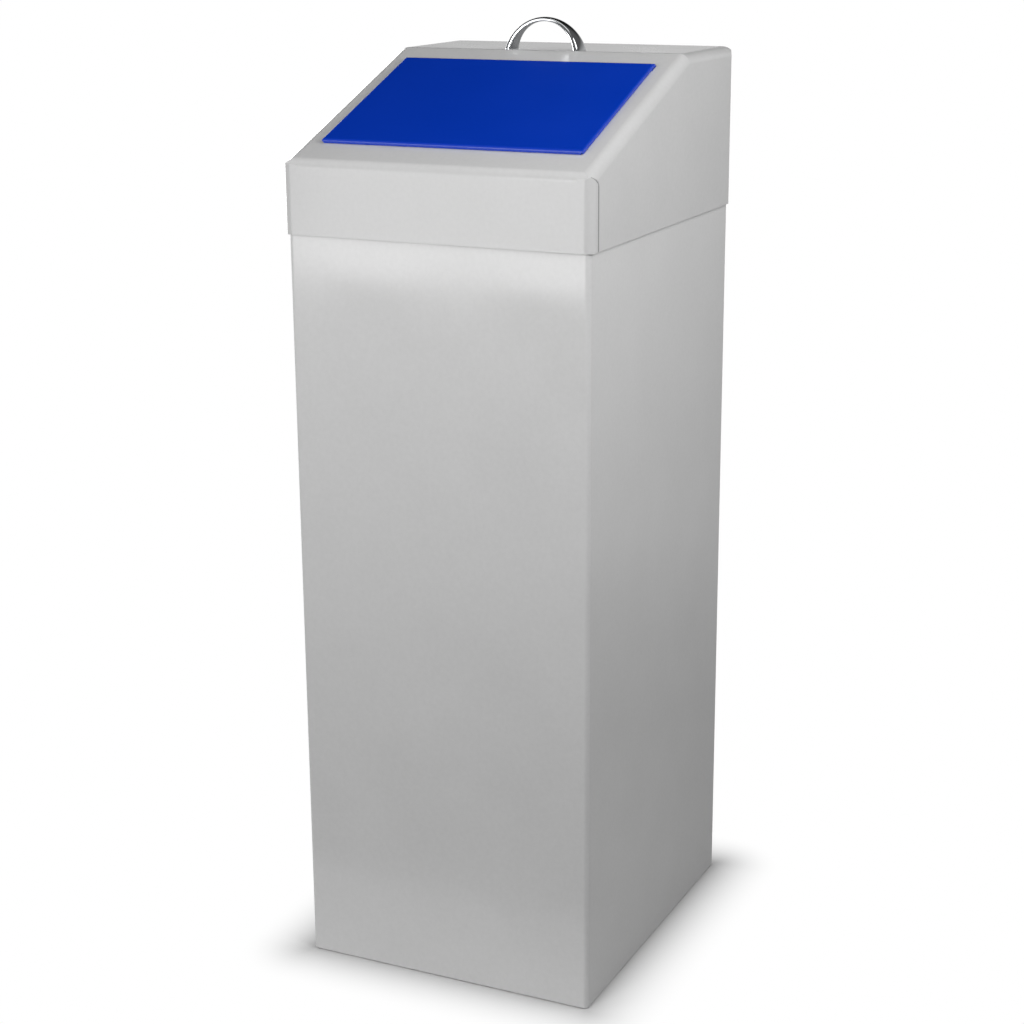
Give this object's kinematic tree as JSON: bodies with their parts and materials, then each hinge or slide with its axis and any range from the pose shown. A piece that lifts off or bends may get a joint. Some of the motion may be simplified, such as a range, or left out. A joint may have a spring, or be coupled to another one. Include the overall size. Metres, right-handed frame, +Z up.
{
  "type": "recycling bin",
  "caption": "Folded sheet-steel recycling bin with a lift-off sloping hood, a hinged blue flap, a bow lift handle and a galvanised lift-out liner.",
  "frame": {"origin": "centre of the bin's footprint, on the floor under the rubber feet", "axes": "+Z up along the bin's height, +X to the right and -Y towards the front face, as seen by a user in front of the bin"},
  "size_m": [0.3118, 0.3598, 0.9235],
  "materials": {
    "grey_powder_coat": "light grey powder coat, satin, finely textured",
    "blue_powder_coat": "blue powder coat, satin",
    "chrome_plate": "polished chrome plate on a casting",
    "galvanised_sheet": "hot-dip galvanised, dull spangle",
    "zinc_plated_steel": "bright zinc plate",
    "black_rubber": "matte moulded rubber",
    "natural_nylon": "natural nylon"
  },
  "bodies": {
    "bin": {"body_shell": "grey_powder_coat", "base_pan": "grey_powder_coat", "rubber_feet": "black_rubber", "foot_rivets": "zinc_plated_steel"},
    "liner": {"liner_shell": "galvanised_sheet", "liner_floor": "galvanised_sheet", "bail_lugs_left": "zinc_plated_steel", "bail_lugs_right": "zinc_plated_steel", "lug_rivets": "zinc_plated_steel"},
    "left_bail": {"bail_left": "zinc_plated_steel"},
    "right_bail": {"bail_right": "zinc_plated_steel"},
    "hood": {"hood_shell": "grey_powder_coat", "hood_rest_left": "grey_powder_coat", "hood_rest_right": "grey_powder_coat", "hinge_strap_left": "zinc_plated_steel", "hinge_strap_right": "zinc_plated_steel", "hinge_bushes": "natural_nylon", "flap_buffers": "black_rubber", "lift_handle": "chrome_plate", "handle_screws": "zinc_plated_steel", "handle_washers": "zinc_plated_steel"},
    "flap": {"flap_panel": "blue_powder_coat", "hinge_rod": "zinc_plated_steel"}
  },
  "joints": [
    {"name": "liner_lift", "type": "slide", "parent": "bin", "child": "liner", "axis": [0, 0, 1], "range_m": [0, 0.76]},
    {"name": "hood_lift", "type": "slide", "parent": "liner", "child": "hood", "axis": [0, 0, 1], "range_m": [0, 0.25]},
    {"name": "flap_hinge", "type": "hinge", "parent": "hood", "child": "flap", "pos_m": [0, 0.02234, 0.879], "axis": [-1, 0, 0], "range_deg": [0, 85]},
    {"name": "left_bail_hinge", "type": "hinge", "parent": "liner", "child": "left_bail", "pos_m": [-0.1342, 0, 0.718], "axis": [0, -1, 0], "range_deg": [0, 175]},
    {"name": "right_bail_hinge", "type": "hinge", "parent": "liner", "child": "right_bail", "pos_m": [0.1342, 0, 0.718], "axis": [0, 1, 0], "range_deg": [0, 175]}
  ]
}
